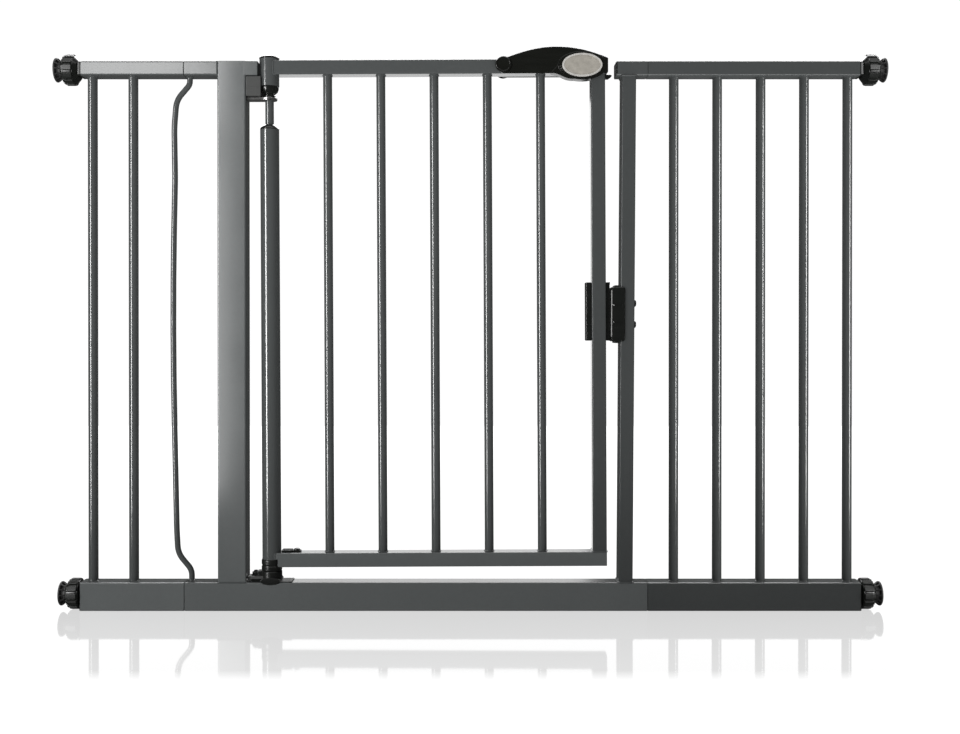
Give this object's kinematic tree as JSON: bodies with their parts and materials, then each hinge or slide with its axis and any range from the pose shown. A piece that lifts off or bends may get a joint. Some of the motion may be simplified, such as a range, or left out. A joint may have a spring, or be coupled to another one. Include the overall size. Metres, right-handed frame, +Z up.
{
  "type": "safety baby gate",
  "caption": "Pressure-fit safety gate: barred self-closing leaf in a U frame with barred extensions at both sides and four screw-out wall pads.",
  "frame": {"origin": "on the underside of the bottom rail, midway between the wall pads and between front and back", "axes": "+X to the latch side, across the opening; +Y away from the user, through the gate; +Z up"},
  "size_m": [1.1672, 0.0439, 0.7893],
  "materials": {
    "slate_paint": "semi-gloss slate grey powder coat",
    "black_plastic": "black moulded plastic, satin to gloss",
    "black_rubber": "matt black rubber",
    "bright_steel": "bright zinc-plated steel",
    "spring_steel": "oiled spring steel",
    "dark_guard": "dark grey coated pressing",
    "badge_face": "warm grey satin oval badge with a pale rim"
  },
  "bodies": {
    "frame": {"left_extension_top_rail": "slate_paint", "left_extension_bottom_rail": "slate_paint", "left_extension_bar_1": "slate_paint", "left_extension_bar_2": "slate_paint", "right_extension_top_rail": "slate_paint", "right_extension_bottom_rail": "slate_paint", "right_extension_bar_1": "slate_paint", "right_extension_bar_2": "slate_paint", "right_extension_bar_3": "slate_paint", "right_extension_bar_4": "slate_paint", "right_extension_bar_5": "slate_paint", "left_stub_rail": "slate_paint", "frame_bottom_rail": "slate_paint", "right_stub_rail": "slate_paint", "bowed_side_bar": "slate_paint", "left_post": "slate_paint", "right_post": "slate_paint", "latch_keeper": "black_plastic", "stop_block": "black_plastic", "upper_hinge_plate": "bright_steel", "upper_hinge_guard": "dark_guard", "lower_hinge_cup": "black_plastic", "lower_hinge_plate": "dark_guard", "upper_left_rail_plug": "black_plastic", "upper_right_rail_plug": "black_plastic", "lower_left_rail_plug": "black_plastic", "lower_right_rail_plug": "black_plastic"},
    "leaf": {"hinge_tube": "slate_paint", "hinge_rod": "slate_paint", "hinge_barrel": "slate_paint", "hinge_cam_bush": "black_plastic", "hinge_collar": "black_plastic", "closing_spring": "spring_steel", "leaf_top_rail": "slate_paint", "leaf_bottom_rail": "slate_paint", "leaf_bar_1": "slate_paint", "leaf_bar_2": "slate_paint", "leaf_bar_3": "slate_paint", "leaf_bar_4": "slate_paint", "leaf_bar_5": "slate_paint", "latch_stile": "slate_paint", "stop_saddle": "black_plastic", "handle_housing": "black_plastic", "handle_pivot_pin": "black_plastic"},
    "handle": {"handle_lever": "black_plastic", "handle_badge": "badge_face"},
    "release_slide": {"release_slide": "black_plastic"},
    "latch_bolt": {"latch_bolt": "bright_steel"},
    "upper_left_wheel": {"upper_left_handwheel": "black_plastic"},
    "upper_left_spindle": {"upper_left_spindle": "bright_steel", "upper_left_wall_pad": "black_rubber"},
    "upper_right_wheel": {"upper_right_handwheel": "black_plastic"},
    "upper_right_spindle": {"upper_right_spindle": "bright_steel", "upper_right_wall_pad": "black_rubber"},
    "lower_left_wheel": {"lower_left_handwheel": "black_plastic"},
    "lower_left_spindle": {"lower_left_spindle": "bright_steel", "lower_left_wall_pad": "black_rubber"},
    "lower_right_wheel": {"lower_right_handwheel": "black_plastic"},
    "lower_right_spindle": {"lower_right_spindle": "bright_steel", "lower_right_wall_pad": "black_rubber"}
  },
  "joints": [
    {"name": "leaf_swing", "type": "hinge", "parent": "frame", "child": "leaf", "pos_m": [-0.2802, 0, 0], "axis": [-0.0044, 0, 1], "range_deg": [-90, 90], "stiffness_Nm_per_rad": 0.6},
    {"name": "handle_lift", "type": "hinge", "parent": "leaf", "child": "handle", "pos_m": [0.04617, 0, 0.76393], "axis": [0, -1, 0], "range_deg": [0, 14], "stiffness_Nm_per_rad": 0.3, "springref_deg": -20.05},
    {"name": "release_slide_travel", "type": "slide", "parent": "handle", "child": "release_slide", "axis": [-1, 0, -0.0044], "range_m": [0, 0.006], "stiffness_N_per_m": 60, "springref_m": -0.01},
    {"name": "latch_bolt_travel", "type": "slide", "parent": "leaf", "child": "latch_bolt", "axis": [-1, 0, -0.0044], "range_m": [0, 0.005]},
    {"name": "upper_left_wheel_spin", "type": "hinge", "parent": "frame", "child": "upper_left_wheel", "pos_m": [-0.56, 0, 0.76], "axis": [1, 0, 0], "range_deg": [0, 3600]},
    {"name": "upper_left_spindle_travel", "type": "slide", "parent": "frame", "child": "upper_left_spindle", "axis": [-1, 0, 0], "range_m": [0, 0.02]},
    {"name": "upper_right_wheel_spin", "type": "hinge", "parent": "frame", "child": "upper_right_wheel", "pos_m": [0.56, 0, 0.76], "axis": [-1, 0, 0], "range_deg": [0, 3600]},
    {"name": "upper_right_spindle_travel", "type": "slide", "parent": "frame", "child": "upper_right_spindle", "axis": [1, 0, 0], "range_m": [0, 0.02]},
    {"name": "lower_left_wheel_spin", "type": "hinge", "parent": "frame", "child": "lower_left_wheel", "pos_m": [-0.56, 0, 0.022], "axis": [1, 0, 0], "range_deg": [0, 3600]},
    {"name": "lower_left_spindle_travel", "type": "slide", "parent": "frame", "child": "lower_left_spindle", "axis": [-1, 0, 0], "range_m": [0, 0.02]},
    {"name": "lower_right_wheel_spin", "type": "hinge", "parent": "frame", "child": "lower_right_wheel", "pos_m": [0.56, 0, 0.022], "axis": [-1, 0, 0], "range_deg": [0, 3600]},
    {"name": "lower_right_spindle_travel", "type": "slide", "parent": "frame", "child": "lower_right_spindle", "axis": [1, 0, 0], "range_m": [0, 0.02]}
  ],
  "couplings": [
    {"joint": "latch_bolt_travel", "follows": "handle_lift", "m_per_rad": 0.02},
    {"joint": "upper_left_wheel_spin", "follows": "upper_left_spindle_travel", "rad_per_m": 3141.6},
    {"joint": "upper_right_wheel_spin", "follows": "upper_right_spindle_travel", "rad_per_m": 3141.6},
    {"joint": "lower_left_wheel_spin", "follows": "lower_left_spindle_travel", "rad_per_m": 3141.6},
    {"joint": "lower_right_wheel_spin", "follows": "lower_right_spindle_travel", "rad_per_m": 3141.6}
  ]
}
